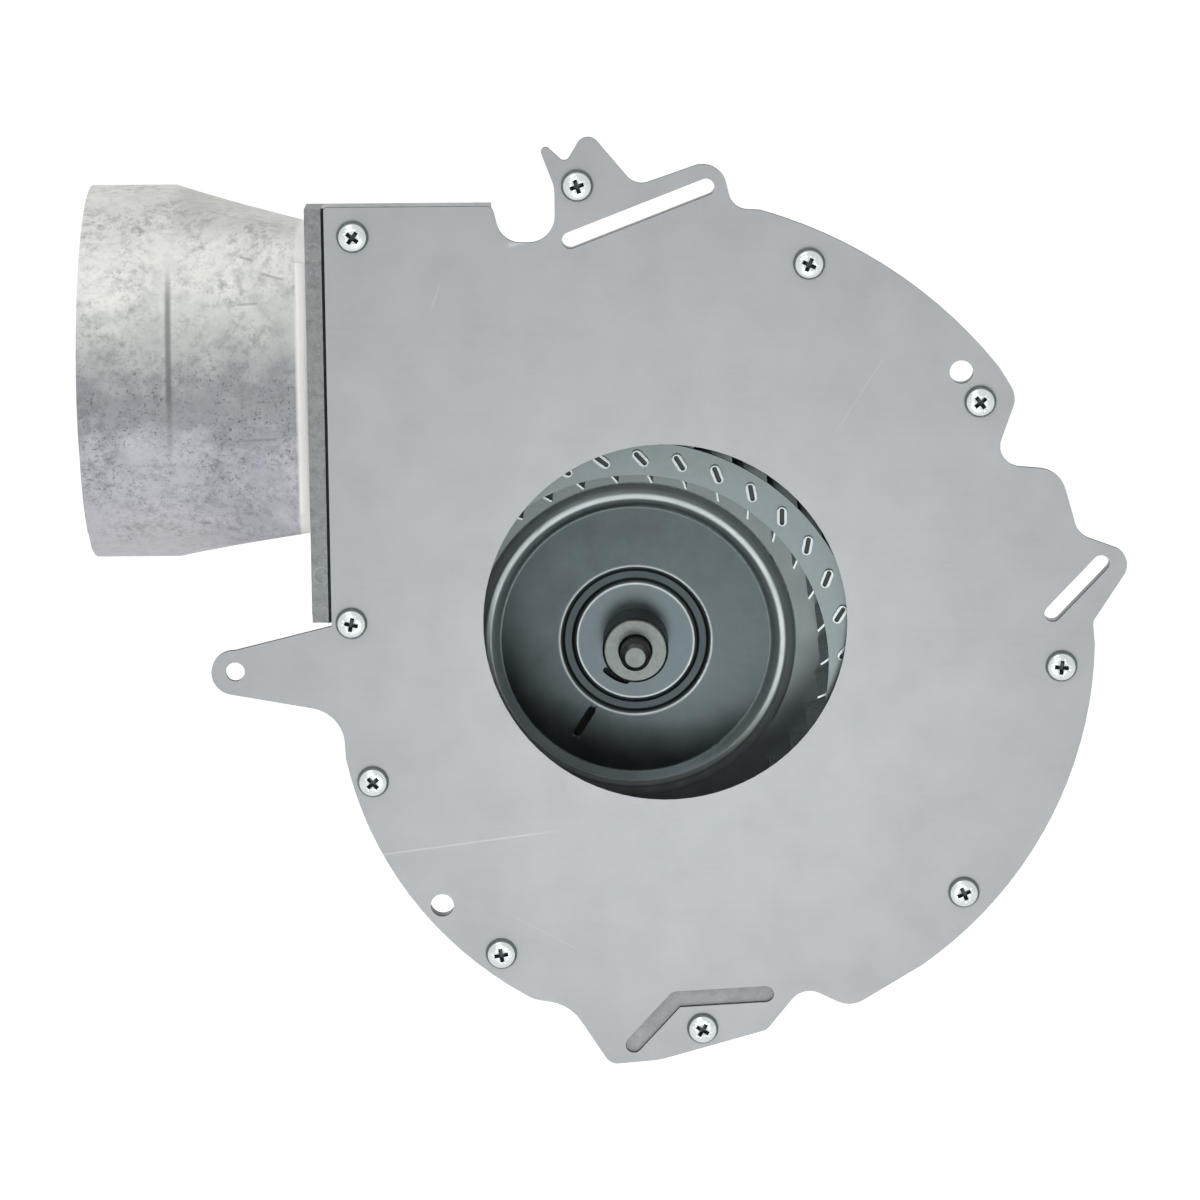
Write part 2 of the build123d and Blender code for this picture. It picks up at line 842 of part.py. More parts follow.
def shading_rings():
    """Closed copper loops through the pole tips, one at each side of the bore."""
    front = stack_front - shading_rise
    rear = stack_rear + shading_rise
    width, height = shading_bar
    loops = []
    for first, last in (shading_angles[:2], shading_angles[2:]):
        legs = [Pos(*around(shading_circle(), angle)) * Rot(0, 0, angle) * Rectangle(width, height)
                for angle in (first, last)]
        loop = layer(legs[0], front, rear) + layer(legs[1], front, rear)
        middle = (first + last) / 2
        half = radians((last - first) / 2)
        span = 2 * shading_circle() * sin(half) + height
        bar = Pos(*around(shading_circle() * cos(half), middle)) * Rot(0, 0, middle) * Rectangle(width, span)
        loop += layer(bar, front, stack_front - shading_gap)
        loop += layer(bar, stack_rear + shading_gap, rear)
        loops.append(loop)
    return loops


def leg_layer(grow, half_length):
    """Block round the coil leg of the stack, grown by a given amount on four sides."""
    low = stack_bottom - grow
    high = stack_bottom + leg_height + grow
    return slab(-half_length, half_length, low, high, stack_front - grow, stack_rear + grow)


def coil_half_length():
    return window_half_width - bobbin_lip - bobbin_wall


def coil_bobbin():
    core = bobbin_clearance + bobbin_wall
    cheek_size = core + coil_build + bobbin_lip
    length = coil_half_length()
    body = leg_layer(core, length)
    for side in (-1, 1):
        cheek = leg_layer(cheek_size, bobbin_wall / 2)
        body += Pos(side * (length + bobbin_wall / 2), 0, 0) * cheek
    window_top = stack_bottom + leg_height + window_height - bobbin_top_gap
    body -= slab(-2 * length, 2 * length, window_top, window_top + cheek_size,
                 stack_front - 2 * cheek_size, stack_rear + 2 * cheek_size)
    return body - leg_layer(bobbin_clearance, 2 * length)


def winding(grow, corner):
    """Block of turns round the bobbin, out to a given distance from the coil leg."""
    block = leg_layer(grow, coil_half_length() - coil_gap)
    return fillet(block.edges().filter_by(Axis.X), corner)


def coil_outside():
    return bobbin_clearance + bobbin_wall + coil_build - tape_thickness


def stator_coil():
    core = bobbin_clearance + bobbin_wall + coil_clearance
    return winding(coil_outside(), coil_corner) - leg_layer(core, 2 * coil_half_length())


def coil_tape():
    wrap = winding(coil_outside() + tape_thickness, coil_corner + tape_thickness)
    return wrap - winding(coil_outside() + coil_clearance, coil_corner + coil_clearance)


def spade_terminals():
    """Two flat blades that stand out of the cheek of the bobbin."""
    start = coil_half_length() + bobbin_wall
    level = stack_bottom - bobbin_clearance - bobbin_wall - coil_build / 2
    half = terminal_thickness / 2
    blades = []
    for side in (-1, 1):
        middle = (stack_front + stack_rear + side * terminal_spacing) / 2
        blade = slab(start, start + terminal_length, level - half, level + half,
                     middle - terminal_width / 2, middle + terminal_width / 2)
        hole = Cylinder(terminal_hole_radius, 2 * terminal_thickness)
        blades.append(blade - Pos(start + terminal_hole_reach, middle, level) * hole)
    return blades


def bearing_bracket(near, towards):
    """Die-cast bridge across the bore; towards is -1 for the front and 1 for the rear."""
    outer = near + towards * bridge_rise
    boss_outer = outer + towards * bridge_boss_rise
    width = 2 * (stack_half_width - bridge_margin)
    outline = RectangleRounded(width, 2 * bridge_half_height, bridge_corner)
    bar = layer(outline, *sorted((outer, outer - towards * bridge_thickness)))
    for side in (-1, 1):
        bar += rod((side * bolt_x, 0), bridge_foot_radius, *sorted((near, outer)))
    boss_inner = outer - towards * (bridge_thickness + bridge_boss_depth)
    bar += disc(bridge_boss_radius(), *sorted((boss_outer, boss_inner)))
    pocket = boss_outer - towards * bearing_sink
    bar -= disc(bearing_radius, *sorted((pocket, boss_inner - towards * overrun)))
    cut = sorted((near - towards * overrun, boss_outer + towards * overrun))
    bar -= disc(shaft_radius + bridge_shaft_clearance, *cut)
    for side in (-1, 1):
        bar -= rod((side * bolt_x, 0), bolt_hole_radius, *cut)
    return bar


def bearing_outer_end(near, towards):
    return near + towards * (bridge_rise + bridge_boss_rise - bearing_sink)


def bearing(near, towards):
    """Sintered bronze bush, round-shouldered so that it can line itself up."""
    outer = bearing_outer_end(near, towards)
    low, high = sorted((outer, outer - towards * bearing_length))
    return turned(
        (core_bore, low),
        (bearing_radius - bearing_shoulder, low),
        (bearing_radius, low + bearing_shoulder_length),
        (bearing_radius, high - bearing_shoulder_length),
        (bearing_radius - bearing_shoulder, high),
        (core_bore, high),
    )


def thrust_washers():
    washers = []
    for near, towards in ((stack_front, -1), (stack_rear, 1)):
        face = bearing_outer_end(near, towards) - towards * (bearing_length + thrust_gap)
        washers.append(ring(bearing_radius, core_bore, *sorted((face, face - towards * thrust_thickness))))
    return washers


def rotor_core():
    return ring(rotor_radius, core_bore, stack_front, stack_rear)


def rotor_end_rings():
    outline = (rotor_radius - end_ring_gap, end_ring_bore)
    return [
        ring(*outline, stack_front - end_ring_length, stack_front),
        ring(*outline, stack_rear, stack_rear + end_ring_length),
    ]


def motor_through_bolts():
    bolts = []
    for side in (-1, 1):
        point = (side * bolt_x, 0)
        hexagon = Pos(*point) * RegularPolygon(bolt_head_radius, 6)
        head = layer(hexagon, bracket_front - bolt_head_height, bracket_front)
        bolts.append(head + rod(point, bolt_radius, bracket_front, bolt_end() + bolt_end_stub))
    return bolts


def bolt_end():
    return stack_rear + bridge_rise + nut_height


def through_bolt_nuts():
    outline = RegularPolygon(nut_radius, 6) - Circle(bolt_radius + nut_clearance)
    near = stack_rear + bridge_rise
    return [layer(Pos(side * bolt_x, 0) * outline, near, bolt_end()) for side in (-1, 1)]


def rear_bearing_cap():
    """Pressed cap over the rear bearing boss, with the shaft end running through it."""
    boss_end = stack_rear + bridge_rise + bridge_boss_rise
    inner = bridge_boss_radius() + cap_clearance
    outer = inner + cap_thickness
    hole = shaft_radius + cap_hole_clearance
    return turned(
        (hole, boss_end),
        (inner, boss_end),
        (inner, boss_end - cap_skirt),
        (outer, boss_end - cap_skirt),
        (outer, boss_end + cap_thickness),
        (hole, boss_end + cap_thickness),
    )


nodes = {
    "cover_plate": cover_plate,
    "scroll_housing": scroll_housing,
    "cover_screws": cover_screws,
    "shaft_seal": shaft_seal,
    "seal_plate": seal_plate,
    "seal_rivets": seal_rivets,
    "motor_bracket": motor_bracket,
    "vibration_grommets": vibration_grommets,
    "grommet_sleeves": grommet_sleeves,
    "mounting_washers": mounting_washers,
    "mounting_screws": mounting_screws,
    "stator_laminations": stator_laminations,
    "shading_rings": shading_rings,
    "coil_bobbin": coil_bobbin,
    "stator_coil": stator_coil,
    "coil_tape": coil_tape,
    "spade_terminals": spade_terminals,
    "front_bearing_bracket": lambda: bearing_bracket(stack_front, -1),
    "rear_bearing_bracket": lambda: bearing_bracket(stack_rear, 1),
    "front_bearing": lambda: bearing(stack_front, -1),
    "rear_bearing": lambda: bearing(stack_rear, 1),
    "rear_bearing_cap": rear_bearing_cap,
    "motor_through_bolts": motor_through_bolts,
    "through_bolt_nuts": through_bolt_nuts,
    "motor_shaft": motor_shaft,
    "rotor_core": rotor_core,
    "rotor_end_rings": rotor_end_rings,
    "thrust_washers": thrust_washers,
    "cooling_fan": cooling_fan,
    "wheel_hub": wheel_hub,
    "hub_set_screw": hub_set_screw,
    "impeller_back_plate": impeller_back_plate,
    "impeller_blades": impeller_blades,
    "impeller_ring": impeller_ring,
}

os.makedirs("parts", exist_ok=True)
for name, make in nodes.items():
    shape = make()
    if isinstance(shape, list):
        shape = Compound(children=[piece for piece in shape])
    export_step(shape, f"parts/{name}.step")
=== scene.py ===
from math import cos, pi, radians, sin

import bmesh
import bpy
from mathutils import Matrix, Quaternion, Vector, noise


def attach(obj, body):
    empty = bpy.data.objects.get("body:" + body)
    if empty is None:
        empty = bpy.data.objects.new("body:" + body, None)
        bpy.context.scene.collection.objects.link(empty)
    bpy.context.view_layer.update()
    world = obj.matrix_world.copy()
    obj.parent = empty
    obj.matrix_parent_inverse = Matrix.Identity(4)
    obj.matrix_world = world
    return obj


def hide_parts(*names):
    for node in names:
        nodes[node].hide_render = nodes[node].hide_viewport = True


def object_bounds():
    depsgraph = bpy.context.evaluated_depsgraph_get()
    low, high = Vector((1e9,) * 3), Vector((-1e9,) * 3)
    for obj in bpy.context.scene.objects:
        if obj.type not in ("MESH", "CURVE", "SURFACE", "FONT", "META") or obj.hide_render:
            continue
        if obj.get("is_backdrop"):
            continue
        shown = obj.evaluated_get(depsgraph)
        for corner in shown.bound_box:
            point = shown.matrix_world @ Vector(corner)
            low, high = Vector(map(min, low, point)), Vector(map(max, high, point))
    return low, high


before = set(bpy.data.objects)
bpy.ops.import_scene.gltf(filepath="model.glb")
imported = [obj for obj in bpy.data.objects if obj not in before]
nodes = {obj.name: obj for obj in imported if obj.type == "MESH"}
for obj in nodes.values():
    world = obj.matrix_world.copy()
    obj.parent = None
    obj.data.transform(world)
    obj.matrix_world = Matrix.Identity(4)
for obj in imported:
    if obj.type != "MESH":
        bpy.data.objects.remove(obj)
cad_low, cad_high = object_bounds()


# Camera
# It stands 1.4 m in front of the cover plate and a little above it, as a hand-held
# camera does, with a long lens and a slight roll.
azimuth = radians(0.764)
elevation = radians(12.249)
roll = radians(-0.547)
distance = 1.4
target = Vector((-0.009, 0, 0.01885))
lens_mm = 160.607
back = Vector((sin(azimuth) * cos(elevation), -cos(azimuth) * cos(elevation), sin(elevation)))
camera_data = bpy.data.cameras.new("camera")
camera_data.lens = lens_mm
camera_data.sensor_width = 36
camera = bpy.data.objects.new("camera", camera_data)
camera.location = target + back * distance
camera.rotation_mode = "QUATERNION"
camera.rotation_quaternion = (-back).to_track_quat("-Z", "Y") @ Quaternion((0, 0, 1), roll)
bpy.context.scene.collection.objects.link(camera)
bpy.context.scene.camera = camera


# Cover plate
# A flat blank of galvanised steel sheet, 1.2 mm thick, punched with the inlet, the slots
# and the holes, and held to the casting by ten screws. The sheared edges are a little round.
def linear(text):
    """Linear colour of an sRGB hex value."""
    parts = [int(text[start:start + 2], 16) / 255 for start in (1, 3, 5)]
    parts = [part / 12.92 if part <= 0.04045 else ((part + 0.055) / 1.055) ** 2.4 for part in parts]
    return (*parts, 1)


def add(material, kind, inputs=None, **settings):
    """Adds a node with its settings; an input is a value, a socket or a node to link."""
    node = material.node_tree.nodes.new(kind)
    for name, value in settings.items():
        setattr(node, name, value)
    for name, value in (inputs or {}).items():
        if isinstance(value, bpy.types.Node):
            value = next(output for output in value.outputs if output.enabled)
        if isinstance(value, bpy.types.NodeSocket):
            material.node_tree.links.new(value, node.inputs[name])
        else:
            node.inputs[name].default_value = value
    return node


def new_material(name):
    """Empty node material, with the socket that gives each point its place on the part."""
    material = bpy.data.materials.new(name)
    material.use_nodes = True
    material.node_tree.nodes.clear()
    return material, add(material, "ShaderNodeTexCoord").outputs["Object"]


def blotches(material, place, size_mm, low, high, detail=5, roughness=0.6):
    """Cloudy mask with patches of the given size, 0 where they are thin and 1 where dense."""
    cloud = add(material, "ShaderNodeTexNoise", {
        "Vector": place, "Scale": 1000 / size_mm, "Detail": detail, "Roughness": roughness})
    return add(material, "ShaderNodeMapRange", {"Value": cloud, "From Min": low, "From Max": high})


def stain(material, ground, mask, share, shade):
    """Covers a share of the ground with another shade where the mask is 1."""
    cover = add(material, "ShaderNodeMath", {0: mask, 1: share}, operation="MULTIPLY")
    return add(material, "ShaderNodeMix", {
        "Factor": cover, "A": ground, "B": linear(shade)}, data_type="RGBA")


def dress(material, colour, metallic, mask, smooth, rough, height, depth_mm):
    """Metal or plastic whose gloss runs from smooth to rough along a mask, over a fine relief."""
    gloss = add(material, "ShaderNodeMapRange", {"Value": mask, "To Min": smooth, "To Max": rough})
    relief = add(material, "ShaderNodeBump", {
        "Height": height, "Strength": 1.0, "Distance": depth_mm / 1000})
    shader = add(material, "ShaderNodeBsdfPrincipled", {
        "Base Color": colour, "Metallic": metallic, "Roughness": gloss, "Normal": relief})
    add(material, "ShaderNodeOutputMaterial", {"Surface": shader})


def scratch(material, place, start_mm, end_mm, width_mm):
    """Mask of a straight scratch on the front face, from point to point in X and Z."""
    run = Vector((end_mm[0] - start_mm[0], end_mm[1] - start_mm[1]))
    local = add(material, "ShaderNodeMapping", {
        "Vector": place, "Location": (start_mm[0] / 1000, 0, start_mm[1] / 1000),
        "Rotation": (0, -run.angle_signed(Vector((1, 0))), 0),
        "Scale": (run.length / 1000, 1, width_mm / 1000)}, vector_type="TEXTURE")
    parts = add(material, "ShaderNodeSeparateXYZ", {"Vector": local})
    across = add(material, "ShaderNodeMath", {0: parts.outputs["Z"]}, operation="ABSOLUTE")
    line = add(material, "ShaderNodeMapRange", {"Value": across, "From Min": 1.0, "From Max": 0.3})
    middle = add(material, "ShaderNodeMath", {0: parts.outputs["X"], 1: 0.5}, operation="SUBTRACT")
    reach = add(material, "ShaderNodeMath", {0: middle}, operation="ABSOLUTE")
    ends = add(material, "ShaderNodeMapRange", {"Value": reach, "From Min": 0.5, "From Max": 0.35})
    return add(material, "ShaderNodeMath", {0: line, 1: ends}, operation="MULTIPLY")


weld_mm = 0.001
flat_within_degrees = 0.1
rounded_from_degrees = 36


def merged(node):
    """Mesh of a CAD node whose triangles share their corners, ready to edit."""
    shape = bmesh.new()
    shape.from_mesh(nodes[node].data)
    bmesh.ops.remove_doubles(shape, verts=shape.verts, dist=weld_mm / 1000)
    return shape


def finished(node, body, edge_mm, material):
    """Smoothly shaded copy of a CAD node, its sharp edges rounded, in its finish."""
    shape = merged(node)
    bmesh.ops.dissolve_limit(
        shape, angle_limit=radians(flat_within_degrees), verts=shape.verts, edges=shape.edges)
    for face in shape.faces:
        face.smooth = True
        face.material_index = 0
    for edge in shape.edges:
        edge.smooth = True
    mesh = bpy.data.meshes.new(node + "_finished")
    shape.to_mesh(mesh)
    shape.free()
    if "custom_normal" in mesh.attributes:
        mesh.attributes.remove(mesh.attributes["custom_normal"])
    mesh.materials.append(material)
    piece = bpy.data.objects.new(node + "_finished", mesh)
    bpy.context.scene.collection.objects.link(piece)
    rounding = piece.modifiers.new("edges", "BEVEL")
    rounding.width = edge_mm / 1000
    rounding.segments = 2
    rounding.limit_method = "ANGLE"
    rounding.angle_limit = radians(rounded_from_degrees)
    shading = piece.modifiers.new("shading", "WEIGHTED_NORMAL")
    shading.keep_sharp = True
    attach(piece, body)
    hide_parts(node)
    return piece


# Hot-dip zinc on rolled sheet: a pale grey, nearly matt, with very faint clouds and the
# streaks of rolling, and the scratches and scuffs of handling.
sheet, place = new_material("galvanised_steel_sheet")
cloud_mm = 16
streak_mm = 0.9
streak_length_mm = 60
spangle_mm = 1.1
along = add(sheet, "ShaderNodeMapping", {
    "Vector": place, "Scale": (1 / streak_length_mm, 1 / streak_length_mm, 1 / streak_mm)})
streaks = blotches(sheet, along, 1, 0.35, 0.7, 4)
clouds = blotches(sheet, place, cloud_mm, 0.3, 0.7, 6)
spangle = blotches(sheet, place, spangle_mm, 0, 1, 2)
colour = stain(sheet, linear("#9ca0a3"), clouds, 1.0, "#a5a9ab")
colour = stain(sheet, colour, streaks, 0.08, "#b8bcbe")
# Each scratch: its ends in X and Z and its width in millimetres, and how much it shows.
scratches = [
    ((-79.7, -51.3), (-19.6, -43.3), 0.35, 0.3),
    ((-32.4, 112.4), (-25.0, 114.2), 0.8, 0.4),
    ((-34.0, -66.0), (-14.0, -77.0), 0.3, 0.12),
    ((52.0, 62.0), (66.0, 84.0), 0.3, 0.12),
    ((-52.0, 96.0), (-49.5, 103.0), 0.4, 0.15),
]
for start, end, width, share in scratches:
    colour = stain(sheet, colour, scratch(sheet, place, start, end, width), share, "#d3d6d7")
dress(sheet, colour, 0.45, streaks, 0.45, 0.47, spangle, 0.014)
cover = finished("cover_plate", "housing", 0.16, sheet)

# The punched edges are bare steel, torn dull where the sheet broke, and painted dark on their cut
# faces as painted shade.
edge_dull_and_shade, place = new_material("sheared_edge_painted_shade")
tear_mm = 1.5
sheared_below = 0.3    # Y of the face's normal, which is 1 on the flat of the sheet
patches = blotches(edge_dull_and_shade, place, tear_mm, 0.3, 0.7)
colour = stain(edge_dull_and_shade, linear("#2f3435"), patches, 1.0, "#4a5051")
dress(edge_dull_and_shade, colour, 0.5, patches, 0.5, 0.65, patches, 0.03)
cover.data.materials.append(edge_dull_and_shade)
for face in cover.data.polygons:
    if abs(face.normal.y) < sheared_below:
        face.material_index = 1


# Cover screws
# Ten thread-forming pan-head screws with a cross recess, of zinc-plated steel. They hold
# the cover plate to the casting, and each stopped at its own angle.
head_height_mm = 2.4
screw_profile_mm = [
    (0, -head_height_mm), (1.9, -2.32), (2.9, -2.1), (3.55, -1.7), (3.95, -1.15), (4.12, -0.6),
    (4.15, -0.2), (4.05, 0), (1.95, 0), (1.95, 9.4), (1.3, 10.2), (0, 10.2)]
wing_length_mm = 4.7
wing_width_mm = 1.15
recess_depth_mm = 2.0
recess_taper = 0.42
recess_faces_mm = (-2.15, -0.1)
flank_radius_mm = 3.6
flank_top_mm = -1.5


def turned(name, profile_mm, steps=48):
    """Shape of revolution about the Y axis from points of radius and depth."""
    shape = bmesh.new()
    points = [shape.verts.new((radius / 1000, depth / 1000, 0)) for radius, depth in profile_mm]
    edges = [shape.edges.new(pair) for pair in zip(points, points[1:])]
    bmesh.ops.spin(shape, geom=points + edges, cent=(0, 0, 0), axis=(0, 1, 0), angle=2 * pi,
                   steps=steps, use_merge=True)
    bmesh.ops.remove_doubles(shape, verts=shape.verts, dist=weld_mm / 1000)
    bmesh.ops.recalc_face_normals(shape, faces=shape.faces)
    for face in shape.faces:
        face.smooth = True
    mesh = bpy.data.meshes.new(name)
    shape.to_mesh(mesh)
    shape.free()
    piece = bpy.data.objects.new(name, mesh)
    bpy.context.scene.collection.objects.link(piece)
    return piece


def cross_cutter():
    """Two tapered wings at right angles, which a punch leaves as the recess."""
    shape = bmesh.new()
    for turn in (0, 90):
        wing = bmesh.ops.create_cube(shape, size=1)["verts"]
        for vert in wing:
            inward = recess_taper if vert.co.y > 0 else 1
            vert.co.x *= wing_length_mm * inward / 1000
            vert.co.z *= wing_width_mm * (1 + inward) / 2 / 1000
            depth_mm = recess_depth_mm if vert.co.y > 0 else -1
            vert.co.y = (depth_mm - head_height_mm) / 1000
        bmesh.ops.rotate(shape, verts=wing, cent=(0, 0, 0),
                         matrix=Matrix.Rotation(radians(turn), 3, "Y"))
    mesh = bpy.data.meshes.new("recess")
    shape.to_mesh(mesh)
    shape.free()
    piece = bpy.data.objects.new("recess", mesh)
    bpy.context.scene.collection.objects.link(piece)
    return piece


def centres(node):
    """Middle of each separate solid of a CAD node, in order of its angle about the wheel axis."""
    shape = merged(node)
    left = set(shape.verts)
    found = []
    while left:
        front = [left.pop()]
        island = list(front)
        while front:
            near = {edge.other_vert(vert) for vert in front for edge in vert.link_edges} & left
            left -= near
            front = list(near)
            island += front
        low = Vector([min(vert.co[axis] for vert in island) for axis in range(3)])
        high = Vector([max(vert.co[axis] for vert in island) for axis in range(3)])
        found.append((low + high) / 2)
    shape.free()
    return sorted(found, key=lambda spot: Vector((1, 0)).angle_signed(Vector((spot.x, spot.z))))


# Bright zinc plate: a mirror-like pale metal with a cold tint. The recess is painted dark as
# painted shade, and the steep flank of the head is painted darker as painted shade.
bath_mm = 0.6
shade_patch_mm = 1.2
zinc, place = new_material("bright_zinc_plate")
patches = blotches(zinc, place, 2.5, 0, 1)
colour = stain(zinc, linear("#c3cbca"), patches, 1.0, "#dde3e3")
dress(zinc, colour, 0.9, patches, 0.2, 0.28, blotches(zinc, place, bath_mm, 0, 1), 0.009)
recess, place = new_material("recess_painted_shade")
patches = blotches(recess, place, shade_patch_mm, 0.3, 0.7)
colour = stain(recess, linear("#2c3838"), patches, 1.0, "#525e5c")
dress(recess, colour, 0.5, patches, 0.4, 0.5, blotches(recess, place, bath_mm, 0, 1), 0.009)
flank_shade, place = new_material("zinc_flank_painted_shade")
patches = blotches(flank_shade, place, shade_patch_mm, 0.3, 0.7)
colour = stain(flank_shade, linear("#6f797a"), patches, 1.0, "#858f8f")
dress(flank_shade, colour, 0.7, patches, 0.35, 0.45, blotches(flank_shade, place, bath_mm, 0, 1), 0.009)

blank = turned("screw_blank", screw_profile_mm)
cutter = cross_cutter()
cut = blank.modifiers.new("recess", "BOOLEAN")
cut.object = cutter
cut.operation = "DIFFERENCE"
cut.solver = "EXACT"
cut.use_self = True
bpy.context.view_layer.update()
evaluated = blank.evaluated_get(bpy.context.evaluated_depsgraph_get())
screw_mesh = bpy.data.meshes.new_from_object(evaluated)
bpy.data.objects.remove(blank)
bpy.data.objects.remove(cutter)
turns = (12, 38, 71, 25, 52, 5, 66, 31, 80, 47)    # degrees
screws = bmesh.new()
for centre, turn in zip(centres("cover_screws"), turns):
    before = len(screws.verts)
    screws.from_mesh(screw_mesh)
    screws.verts.ensure_lookup_table()
    added = screws.verts[before:]
    bmesh.ops.rotate(screws, verts=added, cent=(0, 0, 0),
                     matrix=Matrix.Rotation(radians(turn), 3, "Y"))
    bmesh.ops.translate(screws, verts=added, vec=(centre.x, 0, centre.z))
    # Recess faces take the painted shade, and the steep flank its own darker painted shade.
    for face in {face for vert in added for face in vert.link_faces}:
        middle_mm = (face.calc_center_median() - Vector((centre.x, 0, centre.z))) * 1000
        reach_mm = Vector((middle_mm.x, middle_mm.z)).length
        inside = (reach_mm < wing_length_mm / 2
                  and recess_faces_mm[0] < middle_mm.y < recess_faces_mm[1])
        steep = reach_mm > flank_radius_mm and middle_mm.y > flank_top_mm
        face.material_index = 1 if inside else 2 if steep else 0
        face.smooth = not inside
screws_mesh = bpy.data.meshes.new("cross_recess_screws")
screws.to_mesh(screws_mesh)
screws.free()
for material in (zinc, recess, flank_shade):
    screws_mesh.materials.append(material)
cover_screws = bpy.data.objects.new("cross_recess_screws", screws_mesh)
bpy.context.scene.collection.objects.link(cover_screws)
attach(cover_screws, "housing")
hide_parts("cover_screws")


# Scroll housing
# One aluminium die casting: scroll, flange, outlet bar, duct and vent collar. It is left
# as cast, with its edges round and the rim of the collar a little ragged.
outlet_x_mm = -84.4
bar_right_mm = -80.1
crease_x_mm = -120.8
crease_lean = 0.045
ejector_marks_mm = [(-82.2, 111.1), (-81.7, 25.9)]
ejector_radius_mm = 2.2
scroll_reach_mm = 122
inside_depth_mm = (6, 42)
rim_middle_z_mm = 71.5
rim_fade_mm = 30
rim_rag_mm = 0.9
rim_notch_mm = 6.25
rim_depth_mm = 0.2
wall_facing = -0.3    # of the normal along the radius, where a wall looks inward
floor_facing = -0.7    # Y of the normal, where the rear wall looks to the front


def between(material, value, low_mm, high_mm, soft_mm):
    """Mask that is 1 from one place on an axis of the part to the other, with soft ends."""
    rise = add(material, "ShaderNodeMapRange", {
        "Value": value, "From Min": (low_mm - soft_mm) / 1000, "From Max": low_mm / 1000})
    fall = add(material, "ShaderNodeMapRange", {
        "Value": value, "From Min": (high_mm + soft_mm) / 1000, "From Max": high_mm / 1000})
    return add(material, "ShaderNodeMath", {0: rise, 1: fall}, operation="MULTIPLY")


# Aluminium as cast: duller and pitted where it cooled first, and grey-green with lighter mottles on
# the bar. The bands of tone that run up the duct are painted reflection: bright across its upper
# front, dark across its middle and lilac-grey low down. The first two clouds shift the bands up and
# down.
cast, place = new_material("die_cast_aluminium")
reflection_bands_low_mm = 42
reflection_bands_high_mm = 162
mottle_mm = 6
speck_mm = 2.6
grain_mm = 0.8
crowd_mm = 14
low_crowd_mm = 9
lilac_cloud_mm = 11
orange_peel_mm = 3.5
parts = add(cast, "ShaderNodeSeparateXYZ", {"Vector": place})
x, y, z = parts.outputs["X"], parts.outputs["Y"], parts.outputs["Z"]
level = z
for size_mm, shift_mm, detail in ((38, 30, 4), (mottle_mm, 24, 6)):
    drift = add(cast, "ShaderNodeTexNoise", {
        "Vector": place, "Scale": 1000 / size_mm, "Detail": detail})
    level = add(cast, "ShaderNodeMath", {
        0: drift, 1: shift_mm / 1000, 2: level}, operation="MULTIPLY_ADD")
level = add(cast, "ShaderNodeMapRange", {
    "Value": level, "From Min": reflection_bands_low_mm / 1000, "From Max": reflection_bands_high_mm / 1000})
painted_reflection_bands = add(cast, "ShaderNodeValToRGB", {"Fac": level})
stops = [
    (0.0, "#bfbdc4"), (0.22, "#c6c5ce"), (0.32, "#b9bac2"), (0.40, "#8d9298"),
    (0.46, "#8a8f94"), (0.53, "#a2a7a7"), (0.60, "#b7bbb8"), (0.67, "#c9ccc8"),
    (0.73, "#e4e4df"), (0.80, "#f1f1ec"), (0.88, "#dededa"), (1.0, "#dfdfdb")]
while len(painted_reflection_bands.color_ramp.elements) < len(stops):
    painted_reflection_bands.color_ramp.elements.new(0.5)
for element, (position, shade) in zip(painted_reflection_bands.color_ramp.elements, stops):
    element.position = position
    element.color = linear(shade)
mottle = blotches(cast, place, mottle_mm, 0.35, 0.65, 7, 0.7)
specks = blotches(cast, place, speck_mm, 0.46, 0.66, 5, 0.75)
pits = blotches(cast, place, grain_mm, 0.56, 0.68, 3)
colour = stain(cast, painted_reflection_bands, between(cast, x, outlet_x_mm + 8, 400, 12), 1.0, "#adb0b1")
colour = stain(cast, colour, mottle, 0.12, "#f0f0ec")

# Clouds low on the duct's right side, and the slope along its top, which lies in shade.
lilac_side = add(cast, "ShaderNodeMath", {
    0: between(cast, x, -112, -90, 7), 1: between(cast, z, 30, 60, 9)}, operation="MULTIPLY")
shade_clouds = add(cast, "ShaderNodeMath", {
    0: lilac_side, 1: blotches(cast, place, lilac_cloud_mm, 0.36, 0.6, 4)},
    operation="MULTIPLY")
colour = stain(cast, colour, shade_clouds, 0.4, "#82848e")
top_slope = add(cast, "ShaderNodeMath", {
    0: between(cast, x, -119, -60, 4), 1: between(cast, z, 115, 150, 5)}, operation="MULTIPLY")
colour = stain(cast, colour, top_slope, 0.35, "#9a9a95")

# Specks and pits lie in crowds, thickest in a band across the lower half of the duct.
crowd = blotches(cast, place, crowd_mm, 0.4, 0.62, 3)
low_crowd = add(cast, "ShaderNodeMath", {
    0: between(cast, z, 47, 76, 9), 1: blotches(cast, place, low_crowd_mm, 0.38, 0.56, 3)},
    operation="MULTIPLY")
for pattern, where, share, shade in (
        (specks, crowd, 0.55, "#767b7c"), (pits, crowd, 0.22, "#565b5e"),
        (specks, low_crowd, 0.3, "#6f7476"), (pits, low_crowd, 0.62, "#42474b")):
    crowded = add(cast, "ShaderNodeMath", {0: pattern, 1: where}, operation="MULTIPLY")
    colour = stain(cast, colour, crowded, share, shade)
colour = stain(cast, colour, specks, 0.14, "#6f7476")
colour = stain(cast, colour, pits, 0.1, "#4f5458")

# Short flow marks, where two fronts of metal met, given by their ends in X and Z.
flow_mark_mm = 0.5
flow_marks_mm = [
    ((-102.8, 107.7), (-98.7, 106.9)), ((-97.0, 103.9), (-90.3, 102.6)),
    ((-103.7, 95.8), (-97.0, 96.4)), ((-106.0, 60.2), (-92.0, 61.0))]
for start, end in flow_marks_mm:
    mark = scratch(cast, place, start, end, flow_mark_mm)
    colour = stain(cast, colour, mark, 0.4, "#6b7072")
